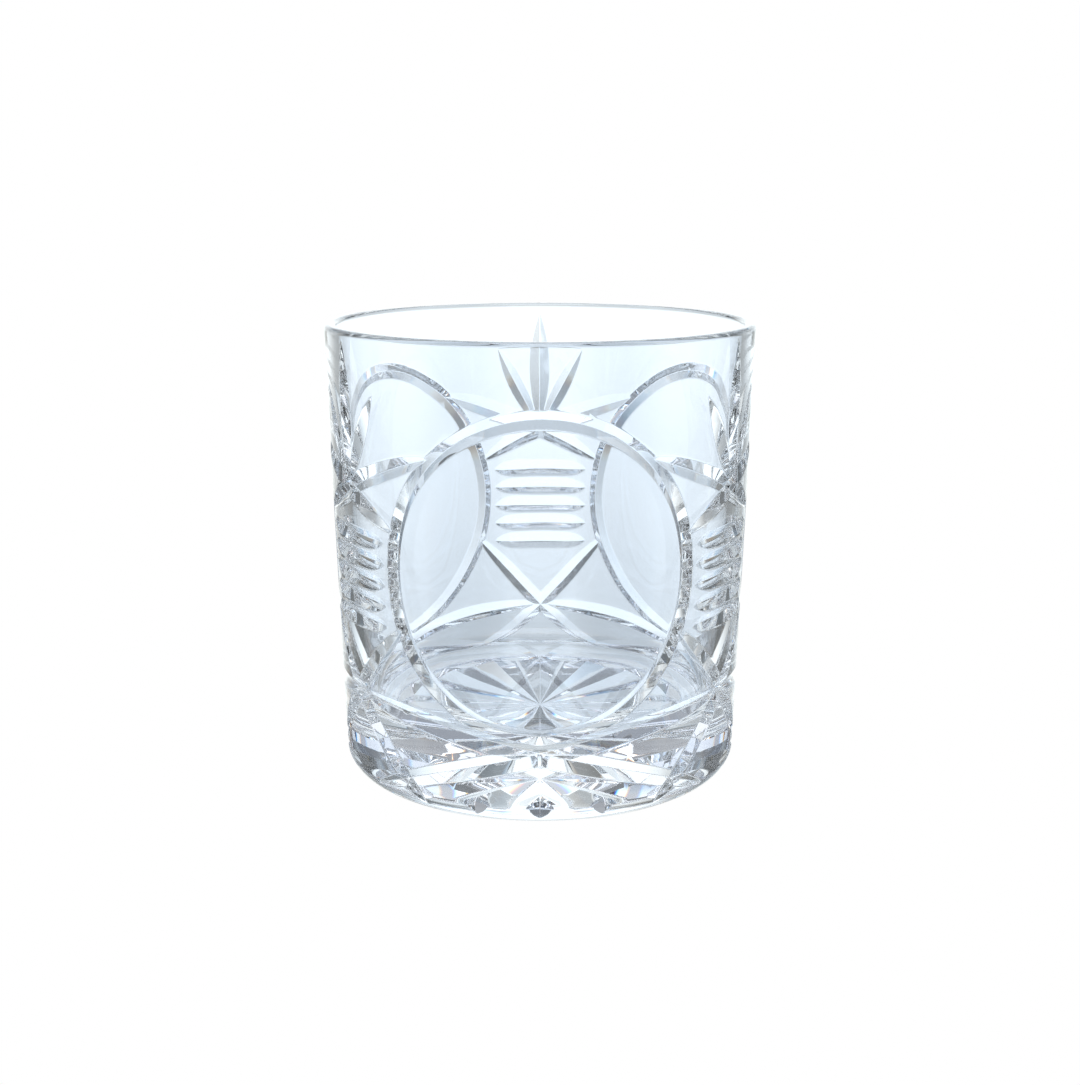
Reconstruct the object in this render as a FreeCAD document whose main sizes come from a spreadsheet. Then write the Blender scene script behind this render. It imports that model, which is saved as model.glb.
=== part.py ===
import FreeCAD, Part
import math
import os
import Sketcher

# A cut-glass whisky tumbler: one piece of clear glass turned about Z, standing on its contact ring at Z = 0.
# Three round panels face -Y and 120 degrees either side. Between them stand three cut motifs.
# Lengths are in millimetres and angles in degrees. "Across" is measured round the wall, "z" is height.

os.makedirs("parts", exist_ok=True)
doc = FreeCAD.newDocument("Tumbler")

# ---------------------------------------------------------------- driving dimensions
DIMENSIONS = [
    ("height", 90.5, "foot to rim"),
    ("rim_radius", 42.5, "outside radius at the rim"),
    ("foot_radius", 39.8, "outside radius of the wall's line carried down to Z = 0"),
    ("heel_round", 5.0, "rounding between the wall and the underside"),
    ("rim_wall", 2.5, "wall thickness at the rim"),
    ("foot_wall", 4.6, "wall thickness at the floor"),
    ("rim_round", 1.1, "rounding of each edge of the rim"),
    ("floor_height", 14.5, "height of the inside floor"),
    ("floor_round", 7.0, "rounding between the inside wall and the floor"),
    ("recess_radius", 31.5, "radius of the hollow in the underside"),
    ("recess_depth", 0.5, "depth of that hollow"),
    ("repeats", 3, "panels round the glass, and motifs"),
    ("mitre_angle", 56.0, "half of the angle of the cutting wheel's V"),
    ("tool_height", 4.0, "how far each cutting profile reaches above its own point"),
    ("panel_height", 47.5, "height of the centre of each round panel"),
    ("ring_radius", 29.4, "radius of the bottom of the groove round a panel"),
    ("ring_depth", 1.15, "depth of that groove"),
    ("upper_cross_height", 61.2, "height of the node where the upper cuts cross and the leaves start"),
    ("upper_cross_slope", 0.426, "fall of each upper cut at the node, per millimetre across"),
    ("upper_cross_bow", 0.0034, "upward bow of that cut, per square millimetre"),
    ("upper_cross_start", -22.5, "where the cut starts, across from the middle of the motif"),
    ("upper_cross_end", 13.2, "where it ends"),
    ("upper_cross_depth", 1.35, "its depth at the deepest"),
    ("upper_cross_fade", 0.3, "share of that depth left at its ends"),
    ("wheel_radius", 56.0, "radius of the wheel that cuts the leaves"),
    ("tall_leaf_depth", 1.7, "depth of the middle leaf"),
    ("side_leaf_depth", 1.3, "depth of each side leaf"),
    ("side_leaf_lean", 29.0, "lean of each side leaf from the vertical"),
    ("rungs", 5, "number of level cuts in the ladder"),
    ("rung_spacing", 4.08, "distance between level cuts"),
    ("rung_depth", 1.42, "depth of each level cut"),
    ("ladder_height", 44.0, "height of the middle of the ladder"),
    ("ladder_width", 34.0, "length of each level pass of the wheel, more than the cut that it leaves"),
    ("lower_cross_height", 21.0, "height at which the two lower slanting cuts cross"),
    ("lower_cross_slope", 1.0, "fall of each lower cut, per millimetre across"),
    ("lower_cross_bow", 0.0, "upward bow of that cut, per square millimetre"),
    ("lower_cross_start", -15.2, "where the cut starts, across from the middle of the motif"),
    ("lower_cross_end", 20.0, "where it ends, low on the heel"),
    ("lower_cross_depth", 1.3, "its depth at the deepest"),
    ("lower_cross_fade", 0.3, "share of that depth left at its ends"),
    ("swag_height", 14.6, "height at which the two long arcs cross under a panel"),
    ("swag_slope", -0.239, "fall of each arc where they cross, per millimetre across"),
    ("swag_bow", 0.0021, "upward bow of the arc, per square millimetre"),
    ("swag_start", -38.0, "where the arc starts, across from the middle of the panel"),
    ("swag_end", 44.5, "where it ends, at the next motif's lower cross"),
    ("swag_depth", 1.45, "its depth at the deepest"),
    ("swag_fade", 0.1, "share of that depth left at its ends"),
    ("star_points", 16, "rays of the star under the base"),
    ("star_radius", 30.0, "length of each ray"),
    ("star_land", 0.8, "glass left uncut between the outer ends of two rays"),
    ("star_angle", 66.0, "half of the angle of the star wheel's V"),
    ("ray_tip", 0.02, "width of a ray's blunt ends, as a share of its widest"),
    ("ray_run_out", 1.04, "where the wheel leaves the glass, as a share of the ray's length"),
]
sheet = doc.addObject("Spreadsheet::Sheet", "Dimensions")
for row, (alias, value, meaning) in enumerate(DIMENSIONS, start=1):
    sheet.set(f"A{row}", alias)
    sheet.set(f"B{row}", str(value))
    sheet.set(f"C{row}", meaning)
    sheet.setAlias(f"B{row}", alias)
doc.recompute()


def size(alias):
    return float(sheet.get(alias))


def cell(alias):
    return f"Dimensions.{alias}"


# ---------------------------------------------------------------- geometry of the outside wall
TAPER = (size("rim_radius") - size("foot_radius")) / size("height")
SECTOR = 360.0 / size("repeats")
MITRE = math.tan(math.radians(size("mitre_angle")))


def wall_frame(axis_angle, across, z):
    """A point of the outside wall, its outward normal, and the wall's level and upward directions there."""
    radius = size("foot_radius") + TAPER * z
    angle = math.radians(axis_angle) + across / radius
    outward = FreeCAD.Vector(math.sin(angle), -math.cos(angle), 0)
    level = FreeCAD.Vector(math.cos(angle), math.sin(angle), 0)
    upward = (FreeCAD.Vector(0, 0, 1) + outward * TAPER).normalize()
    point = outward * radius + FreeCAD.Vector(0, 0, z)
    return point, level.cross(upward), level, upward


# ---------------------------------------------------------------- sketches
def new_sketch(body, name, plane_role, placement=None):
    plane = next(f for f in body.Origin.OriginFeatures if f.Role == plane_role)
    sketch = body.newObject("Sketcher::SketchObject", name)
    sketch.AttachmentSupport = [(plane, "")]
    sketch.MapMode = "FlatFace"
    if placement:
        sketch.AttachmentOffset = placement
    return sketch


def draw_polygon(sketch, corners):
    """A closed outline. Each corner is (x, y, x expression, y expression); None leaves a number at zero."""
    points = [FreeCAD.Vector(x, y, 0) for x, y, _, _ in corners]
    for start, end in zip(points, points[1:] + points[:1]):
        sketch.addGeometry(Part.LineSegment(start, end), False)
    count = len(corners)
    for i in range(count):
        sketch.addConstraint(Sketcher.Constraint("Coincident", i, 2, (i + 1) % count, 1))
    for i, (x, y, x_formula, y_formula) in enumerate(corners):
        for kind, value, formula, axis in (("X", x, x_formula, -2), ("Y", y, y_formula, -1)):
            if formula is None:
                sketch.addConstraint(Sketcher.Constraint("PointOnObject", i, 1, axis))
                continue
            sketch.addConstraint(Sketcher.Constraint("Distance" + kind, -1, 1, i, 1, value))
            name = f"corner{i}{kind}"
            sketch.renameConstraint(sketch.ConstraintCount - 1, name)
            sketch.setExpression(f"Constraints.{name}", formula)


# ---------------------------------------------------------------- the turned blank
def make_blank(body):
    sketch = new_sketch(body, "BlankProfile", "XZ_Plane")
    rim_inside = f"{cell('rim_radius')} - {cell('rim_wall')}"
    floor_inside = (
        f"{cell('foot_radius')} + ({cell('rim_radius')} - {cell('foot_radius')})"
        f" * {cell('floor_height')} / {cell('height')} - {cell('foot_wall')}"
    )
    recess_foot = f"{cell('recess_radius')} + {cell('recess_depth')}"
    floor_x = size("foot_radius") + TAPER * size("floor_height") - size("foot_wall")
    draw_polygon(sketch, [
        (0, size("recess_depth"), None, cell("recess_depth")),
        (size("recess_radius"), size("recess_depth"), cell("recess_radius"), cell("recess_depth")),
        (size("recess_radius") + size("recess_depth"), 0, recess_foot, None),
        (size("foot_radius"), 0, cell("foot_radius"), None),
        (size("rim_radius"), size("height"), cell("rim_radius"), cell("height")),
        (size("rim_radius") - size("rim_wall"), size("height"), rim_inside, cell("height")),
        (floor_x, size("floor_height"), floor_inside, cell("floor_height")),
        (0, size("floor_height"), None, cell("floor_height")),
    ])
    doc.recompute()
    turned = body.newObject("PartDesign::Revolution", "TurnedBlank")
    turned.Profile = sketch
    turned.ReferenceAxis = (sketch, ["V_Axis"])
    turned.Angle = 360
    doc.recompute()
    rounded = turned
    for name, alias, radius, z in (
        ("HeelRound", "heel_round", size("foot_radius"), 0.0),
        ("FloorRound", "floor_round", floor_x, size("floor_height")),
        ("RimOuterRound", "rim_round", size("rim_radius"), size("height")),
        ("RimInnerRound", "rim_round", size("rim_radius") - size("rim_wall"), size("height")),
    ):
        edge = find_circle(rounded.Shape, radius, z)
        fillet = body.newObject("PartDesign::Fillet", name)
        fillet.Base = (rounded, [edge])
        fillet.setExpression("Radius", cell(alias))
        doc.recompute()
        rounded = fillet
    return rounded


NEAR = 0.01


def find_circle(shape, radius, z):
    """The name of the edge that is a level circle of this radius at this height."""
    for number, edge in enumerate(shape.Edges, start=1):
        curve = edge.Curve
        if not isinstance(curve, Part.Circle):
            continue
        if math.isclose(curve.Radius, radius, abs_tol=NEAR) and math.isclose(curve.Center.z, z, abs_tol=NEAR):
            return f"Edge{number}"
    raise RuntimeError(f"no circle of radius {radius} at height {z}")


# ---------------------------------------------------------------- cuts made by a wheel held still
def facing(x_axis, y_axis, z_axis, origin):
    """The placement of a sketch whose own axes point along three given directions."""
    turn = FreeCAD.Matrix(
        x_axis.x, y_axis.x, z_axis.x, 0,
        x_axis.y, y_axis.y, z_axis.y, 0,
        x_axis.z, y_axis.z, z_axis.z, 0,
        0, 0, 0, 1,
    )
    return FreeCAD.Placement(origin, FreeCAD.Rotation(turn))


def leaf(body, name, axis_angle, lean, depth_alias):
    """A V cut pointed at both ends. It starts at the node over the ladder and leans to one side."""
    depth = size(depth_alias)
    wheel = size("wheel_radius")
    slope = math.radians(lean)
    bend = 1.0 / wheel + math.sin(slope) ** 2 / size("rim_radius")
    reach = math.sqrt(2.0 * depth / bend)
    z = size("upper_cross_height") + reach * math.cos(slope)
    point, normal, level, upward = wall_frame(axis_angle, reach * math.sin(slope), z)
    along = upward * math.cos(slope) + level * math.sin(slope)
    centre = point + normal * (wheel - depth)
    placement = facing(normal.cross(along), normal, along, centre)
    sketch = new_sketch(body, name + "Wheel", "XY_Plane", placement)
    half = f"{cell('tool_height')} * tan({cell('mitre_angle')} * 1 deg)"
    top = f"{cell('tool_height')} - {cell('wheel_radius')}"
    half_x = size("tool_height") * MITRE
    top_y = size("tool_height") - wheel
    draw_polygon(sketch, [
        (0, -wheel, None, f"-1 * {cell('wheel_radius')}"),
        (half_x, top_y, half, top),
        (-half_x, top_y, f"-1 * {half}", top),
    ])
    doc.recompute()
    groove = body.newObject("PartDesign::Groove", name)
    groove.Profile = sketch
    groove.ReferenceAxis = (sketch, ["H_Axis"])
    groove.Angle = 360
    return checked_cut(groove)


def ladder(body, axis_angle):
    """Level V cuts one above another. Each is straight, so it runs out where the wall curves away."""
    point, normal, level, upward = wall_frame(axis_angle, 0, size("ladder_height"))
    sketch = new_sketch(body, "LadderProfile", "XY_Plane", facing(upward, normal, level, point))
    count = int(size("rungs"))
    spacing = size("rung_spacing")
    depth = size("rung_depth")
    above = size("tool_height") - depth
    ridge = spacing / 2 / MITRE - depth
    below = f"-1 * {cell('rung_depth')}"
    half_angle = f"{cell('mitre_angle')} * 1 deg"
    ridge_formula = f"{cell('rung_spacing')} / 2 / tan({half_angle}) - {cell('rung_depth')}"
    above_formula = f"{cell('tool_height')} - {cell('rung_depth')}"
    end = (count - 1) / 2 * spacing + size("tool_height") * MITRE
    end_formula = (
        f"({cell('rungs')} - 1) / 2 * {cell('rung_spacing')}"
        f" + {cell('tool_height')} * tan({half_angle})"
    )
    corners = [(-end, above, f"-1 * ({end_formula})", above_formula)]
    for k in range(count):
        step = k - (count - 1) / 2
        at_rung = f"{cell('rung_spacing')} * ({step})" if step else None
        corners.append((step * spacing, -depth, at_rung, below))
        if k < count - 1:
            after = step + 0.5
            corners.append((after * spacing, ridge, f"{cell('rung_spacing')} * ({after})", ridge_formula))
    corners.append((end, above, end_formula, above_formula))
    draw_polygon(sketch, corners)
    doc.recompute()
    pocket = body.newObject("PartDesign::Pocket", "Ladder")
    pocket.Profile = sketch
    pocket.SideType = "Symmetric"
    pocket.setExpression("Length", cell("ladder_width"))
    return checked_cut(pocket)


def checked_cut(feature):
    """Recomputes a cut and makes sure that it took glass away."""
    before = feature.BaseFeature.Shape.Volume
    doc.recompute()
    taken = before - feature.Shape.Volume
    print(f"{feature.Name}: {taken:.1f} mm3")
    if taken < 1.0:
        raise RuntimeError(f"{feature.Name} cut nothing")
    return feature


def around(body, name, features, count_alias):
    """Repeats cuts evenly round the glass."""
    pattern = body.newObject("PartDesign::PolarPattern", name)
    pattern.Originals = features
    pattern.Axis = (next(f for f in body.Origin.OriginFeatures if f.Role == "Z_Axis"), [""])
    pattern.Angle = 360
    pattern.setExpression("Occurrences", cell(count_alias))
    body.Tip = pattern
    doc.recompute()
    return pattern


# ---------------------------------------------------------------- the star under the base
def star_ray(body):
    """One ray: a V that widens and deepens outwards, then runs out short of the contact ring."""
    tangent = f"tan({cell('star_angle')} * 1 deg)"
    half_width = math.pi * size("star_radius") / size("star_points") - size("star_land") / 2
    half_formula = f"(pi * {cell('star_radius')} / {cell('star_points')} - {cell('star_land')} / 2)"
    star_slope = math.tan(math.radians(size("star_angle")))
    tip = size("ray_tip")
    sections = []
    for name, along, share in (("Inner", 0.0, tip), ("Outer", 1.0, 1.0), ("End", size("ray_run_out"), tip)):
        placement = FreeCAD.Placement(FreeCAD.Vector(0, 0, along * size("star_radius")), FreeCAD.Rotation())
        sketch = new_sketch(body, f"Ray{name}", "YZ_Plane", placement)
        sketch.setExpression("AttachmentOffset.Base.z", f"{cell('star_radius')} * {along}")
        top = size("recess_depth") + share * half_width / star_slope
        top_formula = f"{cell('recess_depth')} + {share} * {half_formula} / {tangent}"
        below = -size("recess_depth")
        width = (top - below) * star_slope
        width_formula = f"({top_formula} + {cell('recess_depth')}) * {tangent}"
        draw_polygon(sketch, [
            (0, top, None, top_formula),
            (width, below, width_formula, f"-1 * {cell('recess_depth')}"),
            (-width, below, f"-1 * {width_formula}", f"-1 * {cell('recess_depth')}"),
        ])
        sections.append(sketch)
    doc.recompute()
    ray = body.newObject("PartDesign::SubtractiveLoft", "StarRay")
    ray.Profile = sections[0]
    ray.Sections = sections[1:]
    ray.Ruled = True
    return checked_cut(ray)


# ---------------------------------------------------------------- cuts that roll round the wall
RING_STEPS = 24
CROSS_STEPS = 10
SWAG_STEPS = 14
TOOL_CLEARANCE = 1.0
PATH_STEP = 1e-4


def rolled_cut(axis_angle, path, depth, steps, closed=False):
    """What a V-edged wheel takes away as it rolls along a path: across, z = path(t), with t from 0 to 1."""
    sections = []
    for i in range(steps if closed else steps + 1):
        t = i / steps
        point, normal, level, upward = wall_frame(axis_angle, *path(t))
        ahead = wall_frame(axis_angle, *path(t + PATH_STEP))[0]
        behind = wall_frame(axis_angle, *path(t - PATH_STEP))[0]
        sideways = normal.cross(ahead - behind).normalize()
        bottom = point - normal * depth(t)
        top = point + normal * TOOL_CLEARANCE
        half = sideways * ((depth(t) + TOOL_CLEARANCE) * MITRE)
        sections.append(Part.makePolygon([bottom, top + half, top - half, bottom]))
    return Part.makeLoft(sections, True, False, closed)


def fading(cut):
    """A cut's depth, greatest at its middle and falling towards both ends."""
    deepest = size(cut + "_depth")
    left = size(cut + "_fade")

    def depth(t):
        from_middle = abs(2 * t - 1)
        return deepest * (left + (1 - left) * (1 - from_middle**4))
    return depth


def bowed(cut, side):
    """A cut's path: it crosses its axis at the cut's height, falls away sideways and bows. side mirrors it."""
    middle = size(cut + "_height")
    slope = size(cut + "_slope")
    bow = size(cut + "_bow")
    start = size(cut + "_start")
    end = size(cut + "_end")

    def path(t):
        across = start + (end - start) * t
        return side * across, middle - slope * across - bow * across**2
    return path


def ring_path(t):
    radius = size("ring_radius")
    angle = 2 * math.pi * t
    return radius * math.sin(angle), size("panel_height") + radius * math.cos(angle)


def rolled_cuts():
    """Rings round the panels, crossed cuts above and below the ladders, and long arcs under the panels."""
    shapes = []
    ring_depth = size("ring_depth")
    for k in range(int(size("repeats"))):
        panel = k * SECTOR
        motif = panel + SECTOR / 2
        shapes.append(rolled_cut(panel, ring_path, lambda t: ring_depth, RING_STEPS, closed=True))
        for side in (-1, 1):
            for cut, axis_angle, steps in (
                ("upper_cross", motif, CROSS_STEPS),
                ("lower_cross", motif, CROSS_STEPS),
                ("swag", panel, SWAG_STEPS),
            ):
                shapes.append(rolled_cut(axis_angle, bowed(cut, side), fading(cut), steps))
    return shapes


# ---------------------------------------------------------------- build
def cut_glass(blank, tools):
    """Takes the rolled cuts out of the blank one after another and names the finished glass."""
    glass = blank
    for number, shape in enumerate(tools):
        tool = doc.addObject("Part::Feature", f"RolledTool{number}")
        tool.Shape = shape
        cut = doc.addObject("Part::Cut", f"RolledCut{number}")
        cut.Base = glass
        cut.Tool = tool
        doc.recompute()
        glass = cut
    glass.Label = "tumbler_glass"
    return glass


def check_document():
    faults = [f"{o.Name}: {o.State}" for o in doc.Objects if "Invalid" in o.State or "Error" in o.State]
    if faults:
        raise RuntimeError("; ".join(faults))


def check_shape(part):
    shape = part.Shape
    if shape.isNull() or not shape.isValid() or len(shape.Solids) != 1:
        raise RuntimeError(f"{part.Label} is not one valid solid")
    print(f"{part.Label}: {shape.Volume / 1000:.1f} cm3, {len(shape.Faces)} faces")


body = doc.addObject("PartDesign::Body", "CutBlank")
doc.recompute()
make_blank(body)
first_motif = SECTOR / 2
lean = size("side_leaf_lean")
cuts = [
    leaf(body, "TallLeaf", first_motif, 0.0, "tall_leaf_depth"),
    leaf(body, "LeftLeaf", first_motif, -lean, "side_leaf_depth"),
    leaf(body, "RightLeaf", first_motif, lean, "side_leaf_depth"),
    ladder(body, first_motif),
]
around(body, "Motifs", cuts, "repeats")
around(body, "Star", [star_ray(body)], "star_points")

tumbler = cut_glass(body, rolled_cuts())
check_document()
check_shape(tumbler)
tumbler.Shape.exportStep(f"parts/{tumbler.Label}.step")
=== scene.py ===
"""A cut-glass whisky tumbler on a plain white floor, in a round tent of soft light.

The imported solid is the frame: it gives the height and the width. The glass seen here is one closed mesh on
the same outline. Its cuts are worked out as a depth at every point of the outside, so that their edges can be
slightly rounded, as acid polishing leaves them. The glass is in millimetres until its mesh is made.
"""

import math

import bpy
import numpy as np
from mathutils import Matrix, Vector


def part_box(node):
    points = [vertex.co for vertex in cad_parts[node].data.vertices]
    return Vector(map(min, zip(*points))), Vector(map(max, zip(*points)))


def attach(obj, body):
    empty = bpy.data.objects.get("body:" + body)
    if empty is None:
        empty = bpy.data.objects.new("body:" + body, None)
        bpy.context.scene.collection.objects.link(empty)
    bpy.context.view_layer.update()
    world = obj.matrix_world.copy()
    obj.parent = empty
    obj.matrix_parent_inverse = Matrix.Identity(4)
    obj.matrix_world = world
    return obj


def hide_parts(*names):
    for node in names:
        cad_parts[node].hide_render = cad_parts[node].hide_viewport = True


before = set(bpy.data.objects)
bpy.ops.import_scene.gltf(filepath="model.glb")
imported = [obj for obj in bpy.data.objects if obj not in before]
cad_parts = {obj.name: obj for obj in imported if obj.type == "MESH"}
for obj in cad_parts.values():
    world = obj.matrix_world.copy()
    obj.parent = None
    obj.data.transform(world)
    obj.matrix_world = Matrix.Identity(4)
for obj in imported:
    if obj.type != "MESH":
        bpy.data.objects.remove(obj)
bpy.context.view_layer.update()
_, high_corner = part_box("tumbler_glass")

MM = 0.001
HEIGHT = high_corner.z / MM
RIM_RADIUS = high_corner.x / MM

# ---------------------------------------------------------------- sizes of the blank
FOOT_RADIUS = 39.8
HEEL_ROUND = 5.0
RIM_WALL = 2.5
RIM_ROUND = 1.1
FOOT_WALL = 4.6
FLOOR_HEIGHT = 14.5
FLOOR_ROUND = 7.0
RECESS_RADIUS = 31.5
RECESS_DEPTH = 0.5
RECESS_ROUND = 0.3
CENTRE_HOLE = 0.1
TAPER = (RIM_RADIUS - FOOT_RADIUS) / HEIGHT

# ---------------------------------------------------------------- sizes of the cuts
REPEATS = 3
SECTOR = 2 * math.pi / REPEATS
MITRE_SLOPE = 1 / math.tan(math.radians(56.0))
PANEL_HEIGHT = 47.5
RING_RADIUS = 29.4
RING_DEPTH = 1.15
NODE_HEIGHT = 61.2
WHEEL_RADIUS = 56.0
LEAVES = ((0.0, 1.7), (29.0, 1.3))
RUNGS = 5
RUNG_SPACING = 4.08
RUNG_DEPTH = 1.25
RUNG_REACH = 11.2
LADDER_HEIGHT = 44.0
UPPER_CROSS = dict(middle=NODE_HEIGHT, slope=0.426, bow=0.0034, start=-22.5, end=13.2, depth=1.35, fade=0.3)
LOWER_CROSS = dict(middle=21.0, slope=1.0, bow=0.0, start=-15.2, end=20.0, depth=1.3, fade=0.3)
SWAG = dict(middle=14.6, slope=-0.239, bow=0.0021, start=-38.0, end=44.5, depth=1.45, fade=0.1)
STAR_POINTS = 16
STAR_RADIUS = 30.0
STAR_LAND = 0.8
STAR_SLOPE = 1 / math.tan(math.radians(66.0))
RAY_TIP = 0.02
RAY_DEEPEST = 0.93
RAY_RUN_OUT = 1.04

# ---------------------------------------------------------------- finish of the cuts
ARRIS = 0.13
VALLEY = 0.07
HAND_WOBBLE = 0.10

# ---------------------------------------------------------------- fineness of the mesh
# A regular grid comes first. Edges longer than FINEST that turn by more than TURN are halved in a few passes.
# Then sides are swapped where that gains enough, if both new triangles stay sound and face outwards.
COLUMNS = 120
ROW_STEP = 1.5
PLAIN_ROW_STEP = 4.0
FINEST = 0.32
TURN = math.radians(10.0)
PASSES = 5
FLIP_PASSES = 3
FLIP_GAIN = 0.002
FLIP_SOUND = 0.15
TIE_BREAK = 1e-12
FACING = 0.3
PROBE = 0.01


# ---------------------------------------------------------------- outline of the blank
def rounded_outline(corners):
    """Lines and tangent arcs through corners (radius, z, rounding).

    Each piece is its start, direction, curvature and length.
    """
    points = np.array([corner[:2] for corner in corners])
    rounds = [corner[2] for corner in corners]
    pieces = []
    here = points[0]
    for i in range(1, len(points)):
        ahead = points[i] - points[i - 1]
        direction = math.atan2(ahead[1], ahead[0])
        unit = ahead / np.hypot(*ahead)
        trim, turn = 0.0, 0.0
        if rounds[i]:
            beyond = points[i + 1] - points[i]
            turn = math.atan2(beyond[1], beyond[0]) - direction
            turn = (turn + math.pi) % (2 * math.pi) - math.pi
            trim = rounds[i] * math.tan(abs(turn) / 2)
        stop = points[i] - unit * trim
        pieces.append((here, direction, 0.0, np.hypot(*(stop - here))))
        here = stop
        if turn:
            curvature = math.copysign(1 / rounds[i], turn)
            length = abs(turn) * rounds[i]
            pieces.append((here, direction, curvature, length))
            here = here + arc_offset(direction, curvature, length)
    return pieces


def arc_offset(direction, curvature, length):
    bend = direction + curvature * length
    return np.array([math.sin(bend) - math.sin(direction), math.cos(direction) - math.cos(bend)]) / curvature


def blank_outline():
    floor_radius = FOOT_RADIUS + TAPER * FLOOR_HEIGHT - FOOT_WALL
    return rounded_outline([
        (CENTRE_HOLE, RECESS_DEPTH, 0.0),
        (RECESS_RADIUS, RECESS_DEPTH, RECESS_ROUND),
        (RECESS_RADIUS + RECESS_DEPTH, 0.0, RECESS_ROUND),
        (FOOT_RADIUS, 0.0, HEEL_ROUND),
        (RIM_RADIUS, HEIGHT, RIM_ROUND),
        (RIM_RADIUS - RIM_WALL, HEIGHT, RIM_ROUND),
        (floor_radius, FLOOR_HEIGHT, FLOOR_ROUND),
        (CENTRE_HOLE, FLOOR_HEIGHT, 0.0),
    ])


OUTLINE = blank_outline()
STARTS = np.array([piece[0] for piece in OUTLINE])
DIRECTIONS = np.array([piece[1] for piece in OUTLINE])
CURVATURES = np.array([piece[2] for piece in OUTLINE])
LENGTHS = np.array([piece[3] for piece in OUTLINE])
RUNS = np.concatenate([[0.0], np.cumsum(LENGTHS)])
CONTACT_RUN = RUNS[4]
RIM_RUN = RUNS[8]


def outline_point(run):
    """Radius and height of the blank's outline, a given run along it from the middle of the underside."""
    piece = np.clip(np.searchsorted(RUNS, run, side="right") - 1, 0, len(OUTLINE) - 1)
    ahead = run - RUNS[piece]
    direction, curvature = DIRECTIONS[piece], CURVATURES[piece]
    straight = curvature == 0
    safe = np.where(straight, 1.0, curvature)
    bend = direction + safe * ahead
    east = np.where(straight, np.cos(direction) * ahead, (np.sin(bend) - np.sin(direction)) / safe)
    north = np.where(straight, np.sin(direction) * ahead, (np.cos(direction) - np.cos(bend)) / safe)
    return STARTS[piece, 0] + east, STARTS[piece, 1] + north


# ---------------------------------------------------------------- depth of the cuts
def soft_max(a, b, blend):
    """The larger of two depths, with the corner between them rounded where they differ by less than blend."""
    difference = np.clip((a - b) / blend, -1.0, 1.0)
    return np.maximum(a, b) + blend / 4 * (1 - np.abs(difference))**2


def soft_abs(distance):
    """Distance to a cut's middle line, with the bottom of its V rounded."""
    inside = np.abs(distance) < VALLEY
    return np.where(inside, distance**2 / (2 * VALLEY) + VALLEY / 2, np.abs(distance))


def bowed_cut(across, z, middle, slope, bow, start, end, depth, fade):
    """Depth of a V cut along the line z = middle - slope * across - bow * across squared."""
    inside = np.clip(across, min(start, end), max(start, end))
    line = middle - slope * inside - bow * inside**2
    steepness = slope + 2 * bow * inside
    stretch = np.sqrt(1 + steepness**2)
    off_end = (across - inside) * stretch
    off_line = (z - line + steepness * (across - inside)) / stretch
    from_middle = np.abs(2 * (inside - start) / (end - start) - 1)
    deepest = depth * (fade + (1 - fade) * (1 - from_middle**4))
    return deepest - MITRE_SLOPE * np.hypot(soft_abs(off_line), off_end)


def leaf_cut(across, z, lean, depth):
    """Depth of a V cut by a wheel held still, which starts at the node and leans away from the upright."""
    lean = math.radians(lean)
    bend = 1 / WHEEL_RADIUS + math.sin(lean)**2 / RIM_RADIUS
    reach = math.sqrt(2 * depth / bend)
    aside = across - reach * math.sin(lean)
    above = z - NODE_HEIGHT - reach * math.cos(lean)
    along = above * math.cos(lean) + aside * math.sin(lean)
    off_line = aside * math.cos(lean) - above * math.sin(lean)
    run_out = along**2 / (2 * WHEEL_RADIUS) + aside**2 / (2 * RIM_RADIUS)
    return depth - run_out - MITRE_SLOPE * soft_abs(off_line)


def rung_cut(across, z, rung):
    """Depth of one level V cut of the ladder, which keeps its depth nearly to its blunt ends."""
    off_line = z - LADDER_HEIGHT - (rung - (RUNGS - 1) / 2) * RUNG_SPACING
    deepest = RUNG_DEPTH * (1 - (across / RUNG_REACH)**6)
    return deepest - MITRE_SLOPE * soft_abs(off_line)


def ring_cut(across, z):
    off_line = np.hypot(across, z - PANEL_HEIGHT) - RING_RADIUS
    return RING_DEPTH - MITRE_SLOPE * soft_abs(off_line)


def nearest(angle, first):
    """Angle from the nearest of the evenly spaced axes, the first of which is given."""
    return (angle - first + SECTOR / 2) % SECTOR - SECTOR / 2


def wall_depth(angle, z):
    """Depth of all the cuts in the outside wall, measured from the wall's own line."""
    around = FOOT_RADIUS + TAPER * z
    wobble = hand_wobble(angle, z)
    panel_angle = nearest(angle, 0.0)
    panel = panel_angle * around + wobble[0]
    motif = nearest(angle, SECTOR / 2) * around + wobble[0]
    z = z + wobble[1]
    next_panel = panel - np.sign(panel_angle) * SECTOR * around
    depth = soft_max(np.zeros_like(z), ring_cut(panel, z), ARRIS)
    for side in (-1, 1):
        for position, cut in ((motif, UPPER_CROSS), (motif, LOWER_CROSS), (panel, SWAG), (next_panel, SWAG)):
            depth = soft_max(depth, bowed_cut(side * position, z, **cut), ARRIS)
    for lean, leaf_depth in LEAVES:
        depth = soft_max(depth, leaf_cut(np.abs(motif), z, lean, leaf_depth), ARRIS)
    for rung in range(RUNGS):
        depth = soft_max(depth, rung_cut(motif, z, rung), ARRIS)
    return depth


def hand_wobble(angle, z):
    """How far a hand-held cut strays, across and along the wall, in slow waves round the glass."""
    across = np.sin(2 * angle + 0.05 * z + 0.4) + 0.6 * np.sin(5 * angle - 0.11 * z + 1.9)
    along = np.sin(4 * angle - 0.07 * z + 2.6) + 0.5 * np.sin(7 * angle + 0.13 * z + 0.8)
    return HAND_WOBBLE * across, HAND_WOBBLE * along


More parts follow.
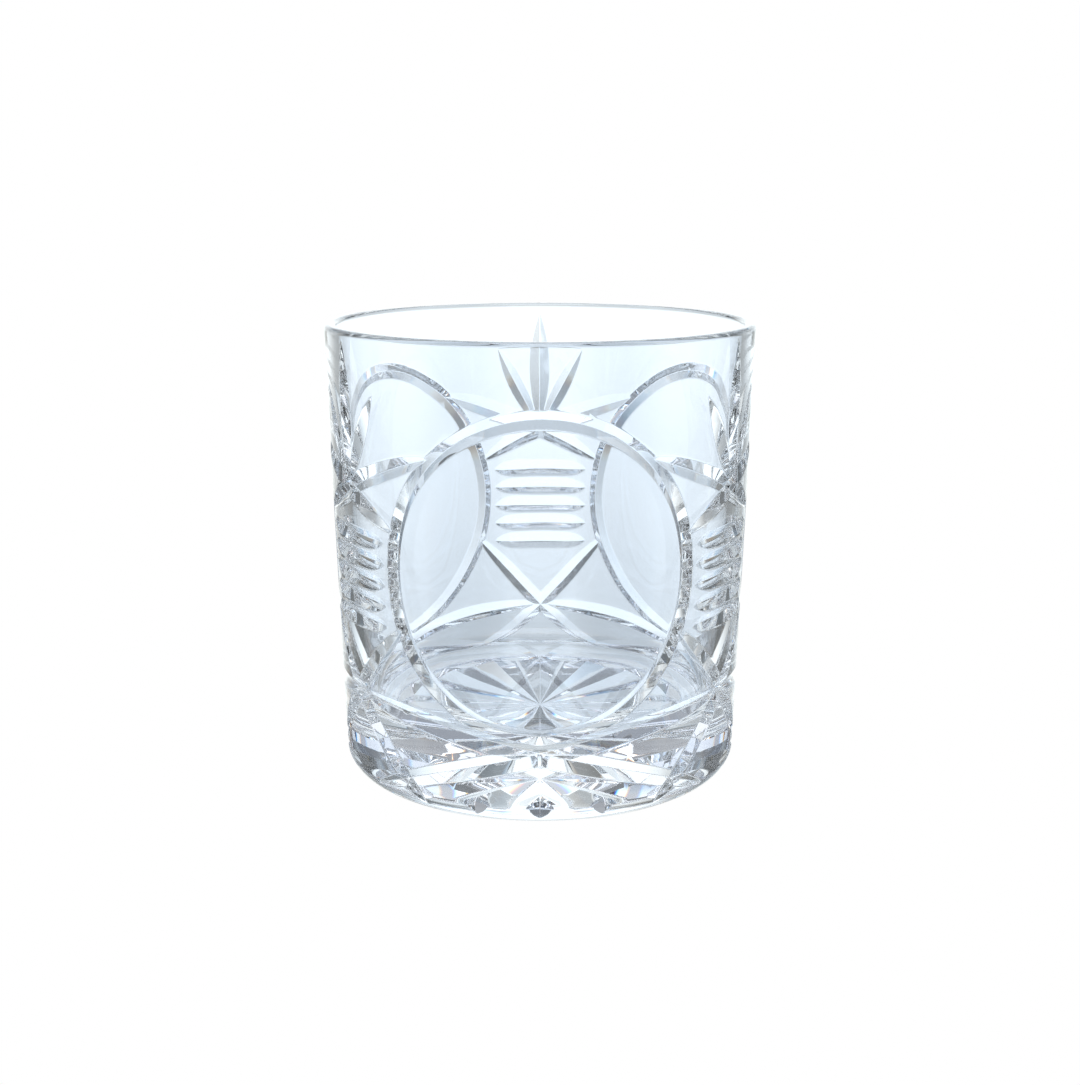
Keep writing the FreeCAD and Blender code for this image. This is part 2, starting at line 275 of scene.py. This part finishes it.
def star_depth(angle, radius):
    """Depth of the star under the base: rays that widen and deepen outwards, then run out inside the ring."""
    ray = 2 * math.pi / STAR_POINTS
    off_axis = (angle + ray / 2) % ray - ray / 2
    half_width = math.pi * STAR_RADIUS / STAR_POINTS - STAR_LAND / 2
    share = np.interp(radius / STAR_RADIUS, [0.0, RAY_DEEPEST, RAY_RUN_OUT], [RAY_TIP, RAY_DEEPEST, RAY_TIP])
    return STAR_SLOPE * (share * half_width - soft_abs(radius * np.sin(off_axis)))


# ---------------------------------------------------------------- the surface and its mesh
def surface(angle, run):
    """Points of the finished glass, by angle round the axis and run along the blank's outline."""
    radius, z = outline_point(run)
    on_wall = (run > CONTACT_RUN) & (run < RIM_RUN)
    on_base = run < CONTACT_RUN
    lift = np.zeros_like(z)
    deep = star_depth(angle[on_base], radius[on_base]) - np.abs(z[on_base] - RECESS_DEPTH)
    lift[on_base] = soft_max(np.zeros_like(deep), deep, ARRIS)
    off_wall = FOOT_RADIUS + TAPER * z[on_wall] - radius[on_wall]
    deep = wall_depth(angle[on_wall], z[on_wall]) - off_wall
    radius[on_wall] -= soft_max(np.zeros_like(deep), deep, ARRIS)
    return np.stack([radius * np.sin(angle), -radius * np.cos(angle), z + lift], axis=-1)


def surface_normal(angle, run):
    """Outward normals of the finished glass, from points a small probe away to each side."""
    radius, _ = outline_point(run)
    swing = PROBE / np.maximum(radius, PROBE)
    around = surface(angle + swing, run) - surface(angle - swing, run)
    along = surface(angle, run + PROBE) - surface(angle, run - PROBE)
    normal = np.cross(around, along)
    return normal / np.linalg.norm(normal, axis=-1, keepdims=True)


def first_grid():
    """A regular grid over the whole blank, open only at the middle of the underside and of the floor."""
    runs = [0.0]
    for start, length, curvature in zip(RUNS, LENGTHS, CURVATURES):
        step = ROW_STEP if start < RIM_RUN else PLAIN_ROW_STEP
        steps = math.ceil(max(length / step, length * abs(curvature) / (TURN * 0.95)))
        runs.extend(start + length * (k + 1) / steps for k in range(steps))
    angle = np.tile(np.arange(COLUMNS) * 2 * math.pi / COLUMNS, len(runs))
    column = np.arange(COLUMNS)
    beside = (column + 1) % COLUMNS
    triangles = []
    for row in range(len(runs) - 1):
        a, b = row * COLUMNS + column, row * COLUMNS + beside
        c, d = b + COLUMNS, a + COLUMNS
        triangles += [np.stack([a, b, c], 1), np.stack([a, c, d], 1)]
    return angle, np.repeat(runs, COLUMNS), np.concatenate(triangles)


def part_way(first, second, share=0.5):
    """An angle part of the way between two, the short way round."""
    return first + share * ((second - first + math.pi) % (2 * math.pi) - math.pi)


def dot(first, second):
    return np.sum(first * second, axis=-1)


def find_edges(triangles):
    """Each edge once, as two point numbers, and the three edges of every triangle."""
    size = triangles.max() + 1
    ends = np.sort(triangles[:, [[0, 1], [1, 2], [2, 0]]].reshape(-1, 2), axis=1)
    codes, edge_of = np.unique(ends[:, 0] * size + ends[:, 1], return_inverse=True)
    return np.stack([codes // size, codes % size], axis=1), edge_of.reshape(-1, 3)


def refine(angle, run, normal, triangles, fresh):
    """Halves every edge along which the surface turns too much, and splits the triangles to match.

    Only the edges of fresh triangles, those of the last pass, can still need it.
    """
    edges, edge_of = find_edges(triangles)
    open_edge = np.zeros(len(edges), bool)
    open_edge[edge_of[fresh]] = True
    place = surface(angle, run)
    open_edge &= np.linalg.norm(place[edges[:, 0]] - place[edges[:, 1]], axis=1) > FINEST
    asked = np.flatnonzero(open_edge)
    a, b = edges[asked].T
    level = dot(normal[a], normal[b])
    for share in (0.25, 0.75, 0.5):
        probe = surface_normal(part_way(angle[a], angle[b], share), run[a] + share * (run[b] - run[a]))
        level = np.minimum(level, np.minimum(dot(probe, normal[a]), dot(probe, normal[b])))
    split = level < math.cos(TURN)
    a, b = a[split], b[split]
    middles = np.full(len(edges), -1)
    middles[asked[split]] = len(angle) + np.arange(len(a))
    angle = np.concatenate([angle, part_way(angle[a], angle[b])])
    run = np.concatenate([run, (run[a] + run[b]) / 2])
    normal = np.concatenate([normal, probe[split]])
    triangles, fresh = split_triangles(triangles, middles[edge_of])
    return angle, run, normal, triangles, fresh


def split_triangles(triangles, middles):
    """Splits triangles whose edges have new middle points, and says which of the triangles are new.

    Middles holds a point number for each edge of each triangle, or -1 where that edge has none.
    """
    has = middles >= 0
    count = has.sum(axis=1)
    kept = triangles[count == 0]
    pieces = [kept]
    for first in range(3):
        order = [(first + k) % 3 for k in range(3)]
        one = (count == 1) & has[:, first]
        p, q, r = triangles[one][:, order].T
        m = middles[one, first]
        pieces += [np.stack([p, m, r], 1), np.stack([m, q, r], 1)]
        two = (count == 2) & ~has[:, order[2]]
        p, q, r = triangles[two][:, order].T
        m, n = middles[two, order[0]], middles[two, order[1]]
        pieces += [np.stack([m, q, n], 1), np.stack([p, m, n], 1), np.stack([p, n, r], 1)]
    p, q, r = triangles[count == 3].T
    m, n, o = middles[count == 3].T
    pieces += [np.stack([p, m, o], 1), np.stack([m, q, n], 1), np.stack([o, n, r], 1), np.stack([m, n, o], 1)]
    triangles = np.concatenate(pieces)
    return triangles, np.arange(len(triangles)) >= len(kept)


def lay_along(angle, run, points, normal, triangles):
    """Swaps the shared side of two triangles where that lays it along a cut and not across it."""
    edges, edge_of = find_edges(triangles)
    slots = np.argsort(edge_of.ravel(), kind="stable")
    count = np.bincount(edge_of.ravel())
    inner = np.flatnonzero(count == 2)
    first = (np.cumsum(count) - count)[inner]
    slot, other_slot = slots[first], slots[first + 1]
    triangle, other = slot // 3, other_slot // 3
    a, b = triangles[triangle, slot % 3], triangles[triangle, (slot + 1) % 3]
    c, d = triangles[triangle, (slot + 2) % 3], triangles[other, (other_slot + 2) % 3]
    gain = dot(normal[c], normal[d]) - dot(normal[a], normal[b]) + TIE_BREAK * np.arange(len(a))
    b_place, c_place, d_place = (unrolled(angle, run, a, corner) for corner in (b, c, d))
    sound = np.minimum(cross_2d(d_place, c_place), cross_2d(b_place - d_place, c_place - d_place))
    allowed = (gain > FLIP_GAIN) & (sound > FLIP_SOUND * cross_2d(b_place, c_place))
    allowed &= faces_out(points, normal, a, d, c) & faces_out(points, normal, d, b, c)
    gain = np.where(allowed, gain, 0.0)
    best = np.zeros(len(triangles))
    np.maximum.at(best, triangle, gain)
    np.maximum.at(best, other, gain)
    swap = allowed & (gain == best[triangle]) & (gain == best[other])
    triangles = triangles.copy()
    triangles[triangle[swap]] = np.stack([a, d, c], 1)[swap]
    triangles[other[swap]] = np.stack([d, b, c], 1)[swap]
    return triangles


def unrolled(angle, run, origin, corner):
    """Corners as seen from an origin, in angle and run."""
    turned = part_way(angle[origin], angle[corner], 1.0) - angle[origin]
    return np.stack([turned, run[corner] - run[origin]], 1)


def faces_out(points, normal, a, b, c):
    """Whether triangles face within about 70 degrees of the glass's own normals at all their corners."""
    facing = np.cross(points[b] - points[a], points[c] - points[a])
    limit = FACING * np.linalg.norm(facing, axis=1)
    agreement = np.min([dot(facing, normal[corner]) for corner in (a, b, c)], axis=0)
    return agreement > limit


def cross_2d(first, second):
    return first[:, 0] * second[:, 1] - first[:, 1] * second[:, 0]


def glass_mesh():
    angle, run, triangles = first_grid()
    grid_size = len(angle)
    normal = surface_normal(angle, run)
    fresh = np.ones(len(triangles), bool)
    for _ in range(PASSES):
        angle, run, normal, triangles, fresh = refine(angle, run, normal, triangles, fresh)
    points = surface(angle, run)
    for _ in range(FLIP_PASSES):
        triangles = lay_along(angle, run, points, normal, triangles)
    column = np.arange(COLUMNS)
    beside = (column + 1) % COLUMNS
    last = grid_size - COLUMNS + column
    points = np.concatenate([points, [[0, 0, points[0, 2]], [0, 0, FLOOR_HEIGHT]]])
    normal = np.concatenate([normal, [[0, 0, -1], [0, 0, 1]]])
    under_cap = np.stack([np.full(COLUMNS, len(points) - 2), beside, column], 1)
    floor_cap = np.stack([last, last[beside], np.full(COLUMNS, len(points) - 1)], 1)
    triangles = np.concatenate([triangles, under_cap, floor_cap])
    mesh = bpy.data.meshes.new("cut_glass")
    mesh.vertices.add(len(points))
    mesh.vertices.foreach_set("co", (points * MM).ravel())
    mesh.loops.add(triangles.size)
    mesh.loops.foreach_set("vertex_index", triangles.ravel())
    mesh.polygons.add(len(triangles))
    mesh.polygons.foreach_set("loop_start", np.arange(0, triangles.size, 3))
    mesh.update(calc_edges=True)
    mesh.shade_smooth()
    mesh.normals_split_custom_set_from_vertices(normal.tolist())
    print(f"glass mesh: {len(points)} points, {len(triangles)} triangles")
    return mesh


# ---------------------------------------------------------------- nodes
BRIGHTEST = 3.0


class Nodes:
    """Short calls that add nodes to a tree and join them."""

    def __init__(self, owner):
        owner.use_nodes = True
        self.tree = owner.node_tree
        self.tree.nodes.clear()

    def add(self, kind, *inputs, out=0, **settings):
        node = self.tree.nodes.new(kind)
        for name, value in settings.items():
            setattr(node, name, value)
        for socket, value in enumerate(inputs):
            self.feed(node.inputs[socket], value)
        return node.outputs[out] if node.outputs else None

    def feed(self, socket, value):
        if isinstance(value, bpy.types.NodeSocket):
            self.tree.links.new(value, socket)
        elif value is not None:
            socket.default_value = value

    def math(self, operation, *inputs):
        return self.add("ShaderNodeMath", *inputs, operation=operation)

    def ramp(self, value, stops):
        """Brightness that runs straight between (position, brightness) stops, up to BRIGHTEST."""
        node = self.tree.nodes.new("ShaderNodeFloatCurve")
        curve = node.mapping.curves[0]
        while len(curve.points) < len(stops):
            curve.points.new(0.5, 0.5)
        for point, (position, level) in zip(curve.points, stops):
            point.location = (position, level / BRIGHTEST)
            point.handle_type = "VECTOR"
        node.mapping.update()
        self.feed(node.inputs["Value"], value)
        return self.math("MULTIPLY", node.outputs[0], BRIGHTEST)


# ---------------------------------------------------------------- materials
GLASS_TINT = (0.83, 0.87, 0.93, 1.0)
GLASS_IOR = 1.54
RIPPLE_STRENGTH = 0.2
RIPPLE_HEIGHT = 0.0002
RIPPLE_SCALE = 90.0
RIPPLE_DETAIL = 1.0
POLISH_SCALE = 400.0
POLISH_DETAIL = 3.0
POLISH_FLAWS = (0.45, 0.75)
UNEVEN_POLISH = 0.015


def crystal():
    """Clear crystal, barely blue. Its polish is a little uneven, and the walls ripple very slightly."""
    material = bpy.data.materials.new("crystal")
    nodes = Nodes(material)
    place = nodes.add("ShaderNodeTexCoord", out=3)
    ripple = nodes.add("ShaderNodeTexNoise", place, None, RIPPLE_SCALE, RIPPLE_DETAIL)
    bump = nodes.tree.nodes.new("ShaderNodeBump")
    bump.inputs["Strength"].default_value = RIPPLE_STRENGTH
    bump.inputs["Distance"].default_value = RIPPLE_HEIGHT
    nodes.feed(bump.inputs["Height"], ripple)
    polish = nodes.add("ShaderNodeTexNoise", place, None, POLISH_SCALE, POLISH_DETAIL)
    rough = nodes.add("ShaderNodeMapRange", polish, *POLISH_FLAWS, 0.0, UNEVEN_POLISH)
    shader = nodes.tree.nodes.new("ShaderNodeBsdfPrincipled")
    shader.inputs["Base Color"].default_value = GLASS_TINT
    shader.inputs["IOR"].default_value = GLASS_IOR
    shader.inputs["Transmission Weight"].default_value = 1.0
    nodes.feed(shader.inputs["Roughness"], rough)
    nodes.feed(shader.inputs["Normal"], bump.outputs[0])
    nodes.add("ShaderNodeOutputMaterial", shader.outputs[0])
    return material


# ---------------------------------------------------------------- stage
# The glass is lit by a round tent of soft panels that repeats every quarter turn. Their brightness was tuned
# to the photograph. Stops are (degrees off the nearest quarter, brightness). Heights are degrees above the
# horizon, and each pair of heights is where one zone passes into the next.
QUARTER = 90.0
PANELS_BELOW = ((0, 0.80), (12, 0.80), (13, 1.0), (19, 1.0), (23, 0.40), (31, 0.14), (45, 0.14))
PANELS_LEVEL = ((0, 1.0), (17, 1.0), (25, 0.74), (33, 0.40), (45, 0.30))
PANELS_ABOVE = ((0, 1.25), (11, 1.25), (12, 0.75), (16, 0.75), (17, 1.6), (20, 1.6), (21, 0.08), (25, 0.08),
                (26, 0.25), (45, 0.25))
STRAIGHT_DOWN = 0.65
STEEP = 0.45
OVERHEAD = 2.6
DOWN_TO_BELOW = (-56.0, -50.0)
BELOW_TO_LEVEL = (-21.0, -18.0)
LEVEL_TO_ABOVE = (13.0, 16.0)
ABOVE_TO_STEEP = (50.0, 54.0)
STEEP_TO_OVERHEAD = (72.0, 74.0)
LEVEL_GAIN = (0.94, 1.36)
GAIN_RISES = (-20.0, -4.0)
TINT_CHANGES = (5.0, 40.0)
FRINGE = 0.4
TENT_LOW_TINT = (1.06, 1.115, 1.11)
TENT_HIGH_TINT = (1.01, 1.02, 1.05)
FLOOR_HALF_WIDTH = 3.0
BOUNCES = 24
CAMERA_DISTANCE = 0.3161
CAMERA_HEIGHT = 0.1196
CAMERA_PITCH = 0.2306
FOCAL_PIXELS = 1594.25
FRAME_HEIGHT = 1085


def light_tent():
    """Plain white to the camera's own rays, and a tent of panels to every ray that the glass has turned.

    The panels lie a little apart in red, green and blue, which gives the cuts the faint colours of a prism.
    """
    world = bpy.data.worlds.new("light_tent")
    bpy.context.scene.world = world
    nodes = Nodes(world)
    direction = nodes.add("ShaderNodeTexCoord", out=0)
    split = nodes.tree.nodes.new("ShaderNodeSeparateXYZ")
    nodes.feed(split.inputs[0], direction)
    x, y, z = split.outputs
    turn = nodes.math("DEGREES", nodes.math("ARCTAN2", x, y))
    height = nodes.math("DEGREES", nodes.math("ARCSINE", z))
    shifts = (FRINGE, 0.0, -FRINGE)
    channels = zip(shifts, TENT_LOW_TINT, TENT_HIGH_TINT)
    colours = [tent_level(nodes, turn, height, *channel) for channel in channels]
    tent = nodes.add("ShaderNodeBackground", nodes.add("ShaderNodeCombineColor", *colours), 1.0)
    backdrop = nodes.add("ShaderNodeBackground", (1.0, 1.0, 1.0, 1.0), 1.0)
    seen = nodes.add("ShaderNodeLightPath", out=0)
    nodes.add("ShaderNodeOutputWorld", nodes.add("ShaderNodeMixShader", seen, tent, backdrop))


def tent_level(nodes, turn, height, shift, low_tint, high_tint):
    """Brightness of the tent in one colour, from the turn round the glass and the height, both in degrees."""
    off_quarter = nodes.math("PINGPONG", nodes.math("ADD", turn, shift), QUARTER / 2)
    off_quarter = nodes.math("DIVIDE", off_quarter, QUARTER / 2)
    height = nodes.math("ADD", height, shift)

    def panels(stops):
        return nodes.ramp(off_quarter, [(angle / (QUARTER / 2), level) for angle, level in stops])

    def blend(below, above, heights):
        share = nodes.add("ShaderNodeMapRange", height, *heights, 0.0, 1.0, interpolation_type="SMOOTHSTEP")
        return nodes.math("MULTIPLY_ADD", share, nodes.math("SUBTRACT", above, below), below)

    level = blend(panels(PANELS_BELOW), panels(PANELS_LEVEL), BELOW_TO_LEVEL)
    level = nodes.math("MULTIPLY", level, blend(*LEVEL_GAIN, GAIN_RISES))
    level = blend(level, panels(PANELS_ABOVE), LEVEL_TO_ABOVE)
    level = blend(level, STEEP, ABOVE_TO_STEEP)
    level = blend(level, OVERHEAD, STEEP_TO_OVERHEAD)
    level = blend(STRAIGHT_DOWN, level, DOWN_TO_BELOW)
    return nodes.math("MULTIPLY", level, blend(low_tint, high_tint, TINT_CHANGES))


def light_table():
    """The white floor, lit from within, so without shadows.

    Only the camera's own rays see it. Rays that leave the glass downwards go on to the tent below.
    """
    size = FLOOR_HALF_WIDTH
    mesh = bpy.data.meshes.new("light_table")
    corners = [(-size, -size, 0), (size, -size, 0), (size, size, 0), (-size, size, 0)]
    mesh.from_pydata(corners, [], [(0, 1, 2, 3)])
    table = bpy.data.objects.new("light_table", mesh)
    bpy.context.scene.collection.objects.link(table)
    material = bpy.data.materials.new("light_table")
    nodes = Nodes(material)
    glow = nodes.add("ShaderNodeEmission", (1.0, 1.0, 1.0, 1.0), 1.0)
    nodes.add("ShaderNodeOutputMaterial", glow)
    mesh.materials.append(material)
    table.visible_glossy = False
    table.visible_transmission = False
    table.visible_diffuse = False


def photo_camera():
    """The camera looks slightly down on the glass, from straight in front of one panel."""
    camera = bpy.data.cameras.new("camera")
    camera.sensor_fit = "VERTICAL"
    camera.sensor_height = 36.0
    camera.lens = camera.sensor_height * FOCAL_PIXELS / FRAME_HEIGHT
    camera.clip_start = 0.01
    holder = bpy.data.objects.new("camera", camera)
    holder.location = (0, -CAMERA_DISTANCE, CAMERA_HEIGHT)
    holder.rotation_euler = (math.pi / 2 - CAMERA_PITCH, 0, 0)
    bpy.context.scene.collection.objects.link(holder)
    bpy.context.scene.camera = holder


# ---------------------------------------------------------------- build
photo_camera()
light_tent()
light_table()
glass = bpy.data.objects.new("cut_glass", glass_mesh())
bpy.context.scene.collection.objects.link(glass)
glass.data.materials.append(crystal())
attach(glass, "root")
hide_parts("tumbler_glass")

bpy.context.scene.view_settings.view_transform = "Standard"
cycles = bpy.context.scene.cycles
cycles.max_bounces = BOUNCES
cycles.transmission_bounces = BOUNCES
cycles.glossy_bounces = BOUNCES
